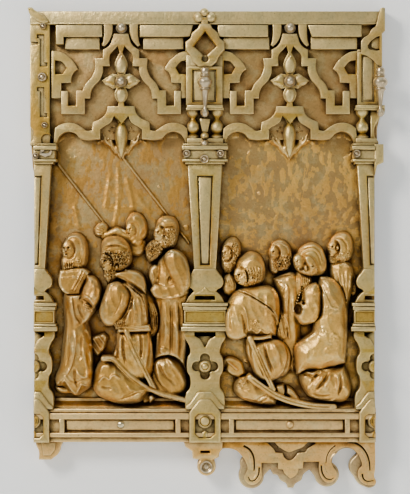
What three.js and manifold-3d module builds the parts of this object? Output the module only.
// Gilt bronze relief plaque for a wall: two strapwork bays, each holding a group of kneeling figures.
// Millimetres. X runs to the viewer's right and Z up. The flat back lies on Y = 0 and the relief faces -Y,
// so a depth is always the distance in front of the back.

import * as THREE from 'three';
import { mergeVertices } from 'three/addons/utils/BufferGeometryUtils.js';
import Module from 'manifold-3d';

const wasm = await Module();
wasm.setup();

// ---- driving dimensions ----

const TOP = 162.3;             // upper edge of the fascia
const BOTTOM = -134;           // lower edge of the rail
const BAYS = [-57.8, 58.4];    // centre-line of each bay
const PILASTERS = [-117.5, 0, 116.5];   // axis of each pilaster; the outer two are cut at it
const BAY_HALF = 47;           // half the clear width between the upper pilasters
const SPRING = 71;             // underside of the strapwork, where the niche begins
const FLOOR = -104;            // where the niche floor starts to come forward
const RAIL_TOP = -111;

const GROUND = 5;              // depths of the surfaces
const FIELD = 9;
const STRAP = 15.5;
const LOW_BAR = 14.5;
const HIGH_BAR = 17.5;
const FASCIA = 16.5;
const SHAFT = 19;
const CAPITAL = 24;
const RAIL = 22;
const APRON = 11;
const EMBED = 3;               // how deep one surface starts inside the next
const INNER = 2;               // back of what stands on the backing plate, inside it

// ---- outlines and solids ----

const mirrored = (points) => points.map(([x, z]) => [-x, z]).reverse();
const shifted = (points, dx) => points.map(([x, z]) => [x + dx, z]);
const symmetric = (rightHalf) => [...rightHalf, ...mirrored(rightHalf)];
const box = (x0, x1, z0, z1) => [[x0, z0], [x1, z0], [x1, z1], [x0, z1]];

function arc(cx, cz, radius, fromDegrees, toDegrees, steps) {
  const points = [];
  for (let i = 0; i <= steps; i++) {
    const angle = THREE.MathUtils.degToRad(fromDegrees + (toDegrees - fromDegrees) * i / steps);
    points.push([cx + radius * Math.cos(angle), cz + radius * Math.sin(angle)]);
  }
  return points;
}

function solid(geometry) {
  geometry.deleteAttribute('normal');
  geometry.deleteAttribute('uv');
  const merged = mergeVertices(geometry, 1e-4);
  const mesh = new wasm.Mesh({
    numProp: 3,
    vertProperties: new Float32Array(merged.attributes.position.array),
    triVerts: new Uint32Array(merged.index.array),
  });
  return new wasm.Manifold(mesh);
}

// A flat plate of any outline, from one depth to another.
function slab(points, back, front, holes = []) {
  const shape = new THREE.Shape(points.map(([x, z]) => new THREE.Vector2(x, z)));
  for (const hole of holes) shape.holes.push(new THREE.Path(hole.map(([x, z]) => new THREE.Vector2(x, z))));
  const geometry = new THREE.ExtrudeGeometry(shape, { depth: front - back, bevelEnabled: false });
  geometry.translate(0, 0, back).rotateX(Math.PI / 2);
  return solid(geometry);
}

// A strap of one width along a run of points.
function strap(points, width, back, front) {
  const left = [];
  const right = [];
  points.forEach(([x, z], i) => {
    const [ax, az] = points[Math.max(i - 1, 0)];
    const [bx, bz] = points[Math.min(i + 1, points.length - 1)];
    const length = Math.hypot(bx - ax, bz - az);
    const nx = -(bz - az) / length * width / 2;
    const nz = (bx - ax) / length * width / 2;
    left.push([x + nx, z + nz]);
    right.unshift([x - nx, z - nz]);
  });
  return slab([...left, ...right], back, front);
}

// A turned form standing upright: pairs of radius and height.
function turned(profile, x, depth, segments = 8) {
  const geometry = new THREE.LatheGeometry(profile.map(([r, z]) => new THREE.Vector2(r, z)), segments);
  geometry.rotateX(Math.PI / 2).translate(x, -depth, 0);
  return solid(geometry);
}

// A turned form standing out of the plaque: pairs of radius and depth.
function button(profile, x, z, segments = 8) {
  const geometry = new THREE.LatheGeometry(profile.map(([r, d]) => new THREE.Vector2(r, d)), segments);
  geometry.rotateX(Math.PI).translate(x, 0, z);
  return solid(geometry);
}

const fuse = (solids) => solids.reduce((whole, next) => whole.add(next));
const carve = (whole, tools) => tools.reduce((left, tool) => left.subtract(tool), whole);

// ---- strapwork of one bay; outlines are the right half, seen from the bay's centre-line ----

const STRAPWORK = [
  [0, 147], [5, 147], [6, 143.5], [7, 140.5], [9, 138], [12.5, 135.8], [12.5, 130], [18.3, 130], [18, 123],
  [20, 117.5], [24.6, 112], [26.5, 107.8], [31, 107.8], [31, 97.3], [36.5, 97.3], [36.5, 107.5], [41.3, 107.5],
  [41.3, 91.5], [25, 91.5], [25, 102.3], [21.3, 102.3], [20.8, 106.5], [19.3, 110], [14.5, 115.3], [12.5, 120.3],
  [12.4, 124.5], [7.8, 124.5], [7.6, 132.5], [5, 135.5], [2.4, 138.3], [1, 134],
  [4.4, 126.5], [3.6, 121.5], [2.2, 118.6], [6, 119.5], [9, 117.5], [13.4, 114.5], [8.5, 111], [5.5, 109],
  [3.2, 109.6], [4.6, 105.5], [3.4, 101.5], [1.8, 99.5], [2.2, 97],
  [9.2, 97], [10.5, 92], [14, 88.5], [19.4, 86], [20, 80.5], [23.5, 80], [26.5, 82],
  ...arc(36, 72, 13.6, 125, 45, 4), [46.5, 71.5], [44.5, 71.5],
  ...arc(36, 71.5, 8, 20, 150, 4), [25.5, 74], [14.4, 74.3], [14.4, 81], [12.5, 82.5], [7, 86], [4.9, 90.4],
  [0, 84.4],
];
const LOOP = [
  [48, 135.3], [41, 134.2], [36, 130.8], [32.3, 127], [29.8, 122.6], [32.5, 120.5], [34, 117.5], [34.5, 113.3],
  [41.3, 113], [41.3, 102.5], [48, 102.5],
];
const LOOP_EYE = [[45.5, 128.6], [41.5, 128], [39.5, 126.2], [37.6, 123.6], [40, 119.3], [45.5, 119]];
const HOOD = [[6.5, 156.5], [6.5, 147.5], [7.6, 142], [10.5, 137.4], [12, 139], [12, 156.5]];

function bay(cx) {
  const onBoth = (points, back, front, holes = []) => [
    slab(shifted(points, cx), back, front, holes.map((hole) => shifted(hole, cx))),
    slab(shifted(mirrored(points), cx), back, front, holes.map((hole) => shifted(mirrored(hole), cx))),
  ];
  return [
    slab(shifted(symmetric(STRAPWORK), cx), GROUND - EMBED, STRAP),
    ...onBoth(LOOP, FIELD - EMBED, STRAP - 1, [LOOP_EYE]),
    ...onBoth(HOOD, FIELD - EMBED, FASCIA),
    ...onBoth(box(13.6, BAY_HALF + 1, 144.5, 153.5), FIELD - EMBED, HIGH_BAR),
    ...onBoth(box(14.2, BAY_HALF + 1, 136, 142.6), FIELD - EMBED, LOW_BAR),
    ...canopy(cx),
  ];
}

// The keel-shaped pendant that hangs in front of the niche under the strapwork's point.
function canopy(cx) {
  const keel = turned([[0, 62], [3, 70], [4.4, 78], [2.4, 85], [0, 87]], cx, 11, 8);
  const wings = slab(symmetric([[0, 84], [9, 82], [12, 74], [6, 68], [0, 62]]).map(([x, z]) => [x + cx, z]),
    GROUND - EMBED, 9);
  return [keel, wings];
}

// ---- pilasters; outlines are the right half, seen from the axis ----

const SHAFT_EDGE = [[12, 58], [7.5, -16]];
const BRACKET = [
  [7.5, -15], [9.5, -18], [11.6, -20.6], [12.6, -24], [11.4, -27.5], [8.6, -29.2], [7.6, -30.5], [10, -32.5],
  [11.8, -35], [13.5, -38.5],
];
const FOOT_PLATE = [
  [14.2, -57.5], [14.2, -62], [11.6, -66.5], [10.2, -71], [10.6, -73.5], [11.8, -75.5], [12.6, -81], [12, -86],
  [10.6, -88.5], [10, -92], [10.6, -97], [13, -100.5], [13.6, -111],
];
const DIAMOND = [
  [3.6, 153.5], [5, 150.5], [9.2, 147], [10, 143.5], [13.5, 141], [13.5, 135.5], [9.4, 130.5], [8, 127], [4.4, 124],
];
const DIAMOND_EYE = [[0, 148.2], [7.6, 138], [2, 133], [2, 127.5], [-2, 127.5], [-2, 133], [-7.6, 138]];
const VASE = [
  [12.4, 97], [12.4, 92], [9.4, 88], [12.6, 84.5], [12.6, 81], [10, 78], [12.6, 74.6], [3.6, 74.6], [5.6, 78],
  [3.4, 81], [3.4, 84.5], [6.4, 88], [3.6, 92], [3.6, 97],
];

// A plate about a pilaster's axis from its right-hand edge: whole at the centre, half on the outer pilasters.
function about(axis, edge, back, front) {
  const foot = [0, edge[edge.length - 1][1]];
  const head = [0, edge[0][1]];
  const half = [...edge, foot, head];
  if (axis < 0) return slab(shifted(half, axis), back, front);
  if (axis > 0) return slab(shifted(mirrored(half), axis), back, front);
  return slab(symmetric(edge), back, front);
}

function lowerPilaster(axis) {
  const outer = Math.sign(axis);
  const ring = (dx, z, r) => button(
    [[0, CAPITAL - 3], [r, CAPITAL - 3], [r - 0.4, CAPITAL + 0.8], [0, CAPITAL + 0.2]], axis + dx, z, 7);
  const parts = [
    about(axis, SHAFT_EDGE, INNER, SHAFT),
    about(axis, BRACKET, INNER, SHAFT + 1),
    about(axis, [[15.6, 70.5], [15.6, 66]], INNER, CAPITAL - 2),
    about(axis, [[15.6, 66.2], [15.6, 60]], INNER, CAPITAL),
    about(axis, [[13.6, 60.2], [13.6, 57.5]], INNER, CAPITAL - 2),
    about(axis, [[15.8, -38.3], [15.8, -43.5]], INNER, CAPITAL),
    about(axis, [[14.3, -43], [14.3, -53]], INNER, CAPITAL - 2),
    about(axis, [[16.3, -52.3], [16.3, -57.7]], INNER, CAPITAL),
    about(axis, FOOT_PLATE, INNER, SHAFT + 1),
    about(axis, [[11, -104.5], [11, -134]], INNER, RAIL + 1),
  ];
  if (outer >= 0) parts.push(ring(-12.6, 64, 2.7));
  if (outer === 0) parts.push(ring(10.6, 64, 2.7), ring(0, 60, 3.1));
  const cuts = [
    about(axis, [[5.4, 49], [3.2, -12.5]], SHAFT - 2.5, SHAFT + 9),
    about(axis, [[6.6, -36.2], [6.6, -33.8]], SHAFT - 1.5, SHAFT + 9),
    about(axis, [[6.4, -57], [6.4, -61], [3.2, -63.5], [0.4, -68.5]], SHAFT - 3, SHAFT + 9),
    about(axis, [[3, -74], [3, -78], [7.4, -78], [7.4, -86], [3, -86], [3, -90.5]], SHAFT - 2.5, SHAFT + 9),
    about(axis, [[7, -114], [7, -130.5]], RAIL - 4, RAIL + 9),
  ];
  const whole = carve(fuse(parts), cuts);
  const bosses = [
    button([[0, SHAFT - 4], [4.2, SHAFT - 4], [3.6, SHAFT + 0.4], [0, SHAFT + 2.4]], axis, -82),
    button([[0, RAIL - 5], [5.2, RAIL - 5], [4.2, RAIL - 0.6], [0, RAIL + 1.4]], axis, -119),
  ];
  return whole.add(fuse(bosses).intersect(slab(box(PILASTERS[0], PILASTERS[2], -140, -70), 0, 40)));
}

function upperCentre() {
  const panel = slab(box(-13, 12, 94, 132), 0, SHAFT - 3.5);
  const border = slab(box(-13, 12, 96, 124), 0, SHAFT - 2.5, [box(-8.5, 7.5, 98, 123)]);
  const plate = carve(slab(symmetric(DIAMOND), 0, SHAFT), [slab(DIAMOND_EYE, SHAFT - 5, SHAFT + 5)]);
  const finial = [[0, 161, 3.2], [-4.4, 158, 3.5], [4.2, 158, 3.5]].map(([x, z, r]) =>
    button([[0, 3], [r, 3], [r, SHAFT], [0, SHAFT]], x, z, 7));
  const neck = slab(box(-3.2, 3, 150, 159), 0, SHAFT - 0.5);
  const ledge = slab(box(-13, 13, 94, 97.5), 0, SHAFT + 3);
  const vases = [
    slab(VASE, GROUND - EMBED, SHAFT - 2),
    slab(mirrored(VASE), GROUND - EMBED, SHAFT - 2),
    slab([[-3.6, 86], [3.6, 86], [2, 79], [-2, 79]], GROUND - EMBED, SHAFT - 4),
    slab(box(-12.6, 12.6, 70, 75), 0, SHAFT - 1),
    button([[0, 3], [2.6, 3], [2.6, SHAFT], [1.4, SHAFT + 1.4], [0, SHAFT + 1.6]], 0, 76.5),
  ];
  return [panel, border, plate, ...finial, neck, ledge, ...vases];
}

// The left edge has a flat post with slots and rings in place of the pierced panel.
function upperLeft() {
  const [edge, inner] = [-120.5, -106.8];
  const post = slab(box(edge, inner, 70, 156), 0, STRAP);
  const slots = [[124.5, 146.5], [89.5, 110]].map(([low, high]) => slab(
    [[-113.6, low], [-108.8, low], [-108.8, low + 2.6], [-110.6, low + 2.6], [-110.6, high], [-115.4, high],
      [-115.4, high - 2.6], [-113.6, high - 2.6]], STRAP - 3, STRAP + 5));
  const rings = [[-111.8, 152], [-112, 117], [-110.4, 84]].map(([x, z]) => button(
    [[0, STRAP - 2], [3.1, STRAP - 2], [2.6, STRAP + 1], [0, STRAP + 0.2]], x, z));
  const hollow = button([[0, STRAP - 5], [3.6, STRAP - 5], [3.6, STRAP + 5], [0, STRAP + 5]], -109, 74.5);
  const leaf = slab([[-122, 164.6], [-118.6, 165], [-115, 162.5], [-110, 158], [-107.2, 154.4], [-113, 154],
    [-118, 157], [-121, 160]], 0, FASCIA + 2);
  return [carve(post, [...slots, hollow]), ...rings, leaf];
}

// The right edge is the centre pilaster's left half, cut at the plaque's edge, with a corner horn above.
function upperRight() {
  const axis = 119.5;
  const panel = slab(box(104.8, axis, 94, 136), 0, SHAFT - 3.5);
  const frame = slab([[107, 144], [112.2, 149.5], [117, 153], [axis, 156], [124, 162], [124, 148.5], [122.2, 148],
    [122.2, 126], [118.5, 123.8], [112, 129.5], [110.5, 133.5], [107, 135]], 0, SHAFT - 1);
  const eye = slab([[111.9, 139], [116, 143.6], [120.5, 143], [120.5, 135.5], [114, 135]], SHAFT - 4, SHAFT + 5);
  const horn = slab([[118, 158], [119.5, 162.2], [121.4, 165], [123.9, 165], [124, 150], [119, 153]],
    0, FASCIA + 1.5);
  const ledge = slab([[103, 93.8], [103, 97.3], [122.6, 97.3], [124.4, 95.8], [123, 91], [120, 91], [118, 93.8]],
    0, SHAFT + 3);
  const vase = slab(shifted(mirrored(VASE), 116.5), GROUND - EMBED, SHAFT - 2);
  const side = slab([[114, 70], [114, 94], [122.6, 94], [119.5, 87.5], [116.8, 82], [116.8, 76.5], [119.5, 72.5],
    [119.5, 70]], 0, SHAFT - 5);
  const sill = slab(box(103.6, 118, 70, 75), 0, SHAFT - 1);
  const edge = slab([[116, 57.5], [116, 70.5], [122.4, 70.5], [122.4, 58], [118, 56], [116.4, 49]], 0, CAPITAL - 1);
  return [panel, carve(frame, [eye]), horn, ledge, vase, side, sill, edge];
}

// ---- backing, niches and rail ----

function backing() {
  const edge = [
    [-120.5, TOP], [-120.5, 70], [-119.5, 56], [-117.5, 46], [-117.5, -60], [-116.5, -62], [-116.5, BOTTOM],
    [117.3, BOTTOM], [117.3, -102], [115.6, -98], [115.6, -60], [118.4, -57.8], [118.4, -55], [116.4, -52],
    [116.4, 56], [116.4, 70], [122.2, 94], [122.2, 148], [123.9, 149], [123.9, TOP],
  ];
  const upperField = carve(slab(box(-120, 119, SPRING + 3, TOP - 4), 2, FIELD),
    BAYS.flatMap((cx) => [-1, 1].map((side) => slab(arc(cx + side * 36, 72, 8, 0, 180, 3), GROUND, 20))));
  const fascia = slab(box(-120.5, 123.9, 153, TOP), 0, FASCIA);
  return [slab(edge, 0, GROUND), upperField, fascia];
}

// The floor of a niche comes forward to the rail in a shallow slope.
function nicheFloor() {
  const slope = new THREE.Shape([[2, FLOOR], [GROUND, FLOOR], [12, RAIL_TOP], [2, RAIL_TOP]].map(
    ([d, z]) => new THREE.Vector2(d, z)));
  const geometry = new THREE.ExtrudeGeometry(slope, { depth: 230, bevelEnabled: false });
  geometry.rotateX(Math.PI / 2).rotateZ(-Math.PI / 2).translate(115, 0, 0);
  return solid(geometry);
}

function rail() {
  const [left, right] = [-116.5, 117.3];
  const parts = [
    slab(box(left, right, -113.8, RAIL_TOP), INNER, RAIL - 2),
    slab(box(left, right, -118.2, -113.6), INNER, RAIL),
    slab(box(left, right, -130.5, -118), INNER, RAIL - 4),
    slab(box(left, right, -130.5, -127.4), INNER, RAIL),
    slab(box(left, right, BOTTOM, -130.3), INNER, RAIL - 3),
  ];
  for (const cx of BAYS) {
    parts.push(slab(box(cx - 42, cx - 38.6, -128, -118), 5, RAIL));
    parts.push(slab(box(cx + 37.6, cx + 41, -128, -118), 5, RAIL));
    parts.push(slab(box(cx - 36.8, cx + 35.8, -125.6, -120), 5, RAIL - 2.4));
  }
  return parts;
}

// ---- apron: three scrolls and a cusped pendant under the right bay ----

function apron() {
  const outline = [
    [12, -132], [12, -139.2], [17.7, -139.3], [21.8, -140.8], [26.5, -145], [24.3, -148],
    ...arc(32, -158, 8.8, 150, 360, 7), [43, -155.5], [45, -153.5],
    [47, -157], [50, -157.5], [52, -161], [56, -163.5], [57, -166.5], [61, -166.5], [62.5, -163.5], [66.5, -161],
    [68, -157], [72, -153.8], ...arc(84, -157, 8.6, 190, 395, 7), [87.5, -149], [88.5, -145],
    ...arc(98, -148, 9, 130, 60, 3), [105, -143], [101, -147], [99.5, -150.5], [100, -154.5], [103, -159],
    [105.5, -163], [110, -165.5], [114, -166.8], [117.3, -165.5], [118, -161.5], [117, -159], [117.3, -132],
  ];
  const face = [
    [31, -132], [34.5, -140], [35, -148], [38.5, -148.5], [50, -148.5], [50.5, -152.5], [54, -153.5], [57.5, -158.5],
    [59, -159.5], [61.5, -158], [64.5, -152.5], [67, -152.5], [68, -148.5], [79, -148.5], [83.5, -145], [87, -140.5],
    [90.5, -137], [91, -132],
  ];
  const keel = [
    [42.5, -133.8], [47, -139.5], [48.5, -141.7], [53.5, -142], [55, -145], [57.5, -147], [60.5, -146.5],
    [63.5, -142], [69.5, -141.5], [70.5, -139], [76, -135], [73.5, -133.8],
  ];
  const volute = (cx, cz, outer, inner, fromDegrees, turns) => {
    const points = [];
    const steps = 6;
    for (let i = 0; i <= steps; i++) {
      const angle = THREE.MathUtils.degToRad(fromDegrees + turns * 360 * i / steps);
      const radius = outer + (inner - outer) * i / steps;
      points.push([cx + radius * Math.cos(angle), cz + radius * Math.sin(angle)]);
    }
    return strap(points, 2.6, APRON - EMBED, APRON + 3);
  };
  const plate = fuse([slab(outline, 0, APRON), slab(face, 0, APRON + 3)]);
  return carve(plate, [slab(keel, GROUND, 30)])
    .add(slab(box(49.5, 65, -139.4, -132), 2, APRON + 1))
    .add(fuse([
      volute(32, -158, 7.4, 2, 60, -1.3),
      volute(84, -157, 7.2, 2, 150, 1.3),
      volute(112, -154, 9.5, 3, 95, 0.9),
      strap([[28.5, -134], [31, -140], [33, -147], [33.5, -152]], 3, 5, APRON + 3),
      strap([[100, -134.5], [106, -137.5], [110, -142.5], [111.5, -146]], 4.5, 5, APRON + 3),
    ]));
}

// The round pendant under the centre pilaster and the stepped toe at the lower left corner.
function pendants() {
  const outline = [
    [-15.5, -132], [-13.5, -137.5], [-9, -140.5], [-8.5, -145.5], ...arc(1, -151, 6.4, 135, 405, 8),
    [9.5, -144.5], [10, -141.5], [12, -139], [12.5, -132],
  ];
  const slot = slab(box(-3, 3.2, -141.4, -140.2), 12, 30);
  const ring = button([[0, 5], [4.4, 5], [4.4, 18.5], [3.2, 18.5], [3.2, 16], [0, 16]], 1, -151);
  const toe = slab([[-116.5, -132], [-116.5, -136], [-114.5, -140.5], [-114.5, -146.5], [-106, -146.5],
    ...arc(-106, -139, 6, -60, 0, 3), [-98, -134], [-98, -132]], 0, 15);
  return [carve(slab(outline, 0, 17), [slot]), ring, toe];
}

// ---- figures ----

function placed(geometry, [x, depth, z], turn) {
  geometry.rotateY(THREE.MathUtils.degToRad(turn)).translate(x, -depth, z);
  return solid(geometry);
}

// An egg-shaped form that joins the ground behind it: place as x, depth, z; half sizes the same way; lean in
// degrees.
function ball([x, depth, z], [rx, ry, rz], lean = 0) {
  const profile = [[0, INNER - depth], [1, INNER - depth], [1, 0], [0.74, ry * 0.7], [0, ry]];
  const geometry = new THREE.LatheGeometry(profile.map(([r, d]) => new THREE.Vector2(r, d)), 8);
  geometry.rotateX(Math.PI).scale(rx, 1, rz);
  return placed(geometry, [x, depth, z], lean);
}

// A tapered form with round ends that rises from the ground: its two places as x, front depth, z, with the half
// width at each, and pleats that run along it.
function limb([x0, front0, z0], r0, [x1, front1, z1], r1, pleats = 0) {
  const length = Math.hypot(x1 - x0, z1 - z0);
  const profile = [...arc(0, 0, r0, -90, 0, 2), ...arc(0, length, r1, 0, 90, 2)];
  const geometry = new THREE.LatheGeometry(
    profile.map(([r, h]) => new THREE.Vector2(r < 1e-6 ? 0 : r, h)), pleats > 0 ? pleats * 2 : 8);
  const spots = geometry.attributes.position;
  for (let i = 0; i < spots.count; i++) {
    const along = THREE.MathUtils.clamp(spots.getY(i) / length, 0, 1);
    const rise = (front0 + (front1 - front0) * along - INNER) / 2;
    const angle = Math.atan2(spots.getZ(i), spots.getX(i));
    const swell = 1 + (pleats > 0 ? 0.08 * Math.cos(angle * pleats) : 0);
    const widest = r0 + (r1 - r0) * along;
    spots.setX(i, spots.getX(i) * swell);
    spots.setZ(i, spots.getZ(i) * swell * rise / widest + rise);
  }
  const turn = Math.atan2(x1 - x0, z1 - z0);
  geometry.rotateX(Math.PI / 2).rotateY(turn).translate(x0, -INNER, z0);
  return solid(geometry);
}

// Left bay: five men, the main one seen from behind at the middle.
const LEFT_GROUP = () => [
  ball([-90.5, 13, -0.5], [7.5, 7.5, 10.5]),
  ball([-83.5, 12, -5.5], [4, 6, 10.5], -8),
  limb([-87.5, 18, -19.5], 11.5, [-88, 18.5, -53.5], 10.5),
  limb([-89, 16.5, -57], 9.5, [-90.5, 18.5, -95], 10.5, 5),
  limb([-78, 19.5, -20], 5.5, [-80.5, 20.5, -38], 5.5),
  slab([[-101, -15], [-80.5, -12.5], [-78, -32.5], [-99.5, -34.5]], 12, 19.5),
  ball([-98, 12, -99], [6, 5, 3]),
  ball([-62, 17, -7.5], [10.5, 9.5, 13]),
  limb([-55, 23, -22.5], 11.5, [-41.5, 20.5, -29.5], 9.5),
  limb([-47.5, 25, -31], 14, [-47, 22.5, -53.5], 11),
  limb([-63.5, 25, -29.5], 8.5, [-65, 26, -47.5], 8.5),
  limb([-47, 22, -59], 11.5, [-46.5, 24.5, -82], 14.5, 6),
  limb([-38, 18.5, -36.5], 5.5, [-34.5, 16.5, -58.5], 4),
  limb([-68.5, 21.5, -86], 9.5, [-43.5, 19, -98.5], 6.5),
  limb([-69.5, 19, -81], 6, [-69.5, 21.5, -97], 7),
  ball([-47, 10, 14.5], [7, 6.5, 9.5]),
  limb([-45, 12.5, 1.5], 5.5, [-60, 11, 7.5], 5),
  ball([-70.5, 9, 11], [4, 4, 5]),
  ball([-27.5, 14, 7.5], [8.5, 8, 11.5]),
  ball([-35.5, 14, -2], [5.5, 5.5, 7]),
  limb([-22, 22, -14.5], 13, [-24.5, 19.5, -38], 10.5),
  limb([-31, 22, -29.5], 5, [-20, 22.5, -31], 5.5),
  ball([-35.5, 17, -17], [3, 3.5, 6]),
  limb([-23.5, 17.5, -44.5], 9, [-23, 17.5, -72], 9, 5),
  ball([-25.5, 12, -90], [12.5, 8, 12.5]),
  strap([[-64, -64], [-59, -76], [-49, -88.5], [-38, -97.5], [-14, -105.5]], 3.4, 4, 24),
  strap([[-100, 54.5], [-72, 15]], 1.8, 3, 6.5),
  strap([[-61, 66.5], [-12, 2]], 1.8, 3, 6.5),
];

// Right bay: four men and a youth, the bowed one at the front with his back to the viewer.
const RIGHT_GROUP = () => [
  ball([17, 11, -5.5], [6, 6, 9.5]),
  ball([17.5, 12, -23.5], [5.5, 5, 7]),
  ball([32, 18, -16.5], [9.5, 9, 11], -15),
  limb([35, 26.5, -40], 16.5, [35.5, 24, -57], 13),
  limb([22, 23.5, -42], 7, [21, 23, -57], 6),
  limb([39, 22.5, -65.5], 12.5, [44.5, 24.5, -83.5], 14.5, 6),
  limb([49.5, 18.5, -40], 5.5, [55.5, 16, -60.5], 3.5),
  limb([25, 21.5, -99], 7, [39, 21, -100.5], 6),
  ball([52, 12, -6], [7, 7, 10.5]),
  limb([54, 14.5, -26], 9, [60.5, 11.5, -67.5], 5.5),
  ball([70.5, 18, -10.5], [9.5, 9, 9], 15),
  ball([74, 16, -3], [9, 8, 7], 20),
  limb([81.5, 26.5, -36.5], 15, [78, 28.5, -67.5], 16.5),
  limb([71.5, 25, -35], 7.5, [72, 26, -47], 7.5),
  limb([73.5, 21.5, -93], 9, [88.5, 20.5, -95], 9.5),
  ball([93.5, 13, 0], [8.5, 7.5, 10.5]),
  limb([94, 16, -16], 8.5, [97.5, 12, -50], 3),
  strap([[15, -80], [31, -93.5], [46, -102.5], [64, -108.5], [88, -110]], 3.4, 4, 24),
];

// ---- the casting and the pieces fixed to it ----

const gilt = new THREE.MeshStandardMaterial({ color: 0xb59a5c, roughness: 0.42, metalness: 0.9 });
const wornGilt = new THREE.MeshStandardMaterial({ color: 0x8a6c43, roughness: 0.35, metalness: 0.9 });
const steel = new THREE.MeshStandardMaterial({ color: 0xb8b09a, roughness: 0.35, metalness: 1 });

function toMesh(name, whole, material) {
  const { vertProperties, triVerts } = whole.getMesh();
  const geometry = new THREE.BufferGeometry();
  geometry.setAttribute('position', new THREE.BufferAttribute(new Float32Array(vertProperties), 3));
  geometry.setIndex(new THREE.BufferAttribute(new Uint32Array(triVerts), 1));
  geometry.computeVertexNormals();
  const mesh = new THREE.Mesh(geometry, material);
  mesh.name = name;
  return mesh;
}

const studPlaces = BAYS.flatMap((cx, i) => [
  { name: `apex_stud_${i + 1}`, x: cx + 0.3, z: 151, seat: FASCIA - 3.5 },
  { name: `fleuron_stud_${i + 1}`, x: cx, z: 114, seat: STRAP },
]);
const screwPlaces = BAYS.map((cx, i) => ({ name: `rail_screw_${i + 1}`, x: cx, z: -122, seat: RAIL - 2.4 }));
const balusterPlaces = [
  { name: 'baluster_centre', x: 0, seat: SHAFT - 2.5 },
  { name: 'baluster_right', x: 120.2, seat: SHAFT - 2.5 },
];

const stud = ({ x, z, seat }) => button(
  [[0, seat + 0.3], [3.8, seat + 0.3], [4, seat + 2.4], [2.8, seat + 5.6], [0, seat + 7]], x, z);
const screw = ({ x, z, seat }) => button(
  [[0, seat - 2], [2.9, seat - 2], [2.9, seat + 0.2], [0, seat + 1.4]], x, z);
const baluster = ({ x, seat }) => turned([
  [0, 89], [2.6, 91.4], [2.4, 94], [1.1, 97.4], [2.9, 107.4], [3.9, 108.4], [3.4, 109.8], [5.2, 112.2], [4.4, 115.4],
  [2.9, 117], [3.4, 118], [3, 121.4], [0, 123.6],
], x, seat + 5.8);

const studs = studPlaces.map((place) => [place.name, stud(place)]);
const screws = screwPlaces.map((place) => [place.name, screw(place)]);
const balusters = balusterPlaces.map((place) => [place.name, baluster(place)]);
const GAP = 0.3;
const clearance = [
  ...screwPlaces.map(({ x, z, seat }) => button(
    [[0, seat - 2 - GAP], [4.2, seat - 2 - GAP], [4.2, 60], [0, 60]], x, z)),
  ...studPlaces.map(({ x, z, seat }) => button([[0, seat], [4 + GAP, seat], [4 + GAP, 60], [0, 60]], x, z)),
  ...balusterPlaces.map(({ x, seat }) => turned([[0, 88.6], [3.1, 91.2], [3, 95], [2.2, 98], [3.4, 106.6],
    [5.7, 111], [5, 115.8], [3.6, 121.6], [0, 124]], x, seat + 5.8)),
];

const casting = carve(fuse([
  ...backing(), nicheFloor(), ...rail(), ...BAYS.flatMap(bay), ...PILASTERS.map(lowerPilaster), ...upperCentre(),
  ...upperLeft(), ...upperRight(), apron(), ...pendants(), ...LEFT_GROUP(), ...RIGHT_GROUP(),
]).intersect(slab(box(-130, 130, -170, 170), 0, 60)), clearance);

const plaque = new THREE.Group();
plaque.add(toMesh('relief_casting', casting, gilt));
for (const [name, whole] of [...studs, ...balusters]) plaque.add(toMesh(name, whole, wornGilt));
for (const [name, whole] of screws) plaque.add(toMesh(name, whole, steel));

export default plaque;
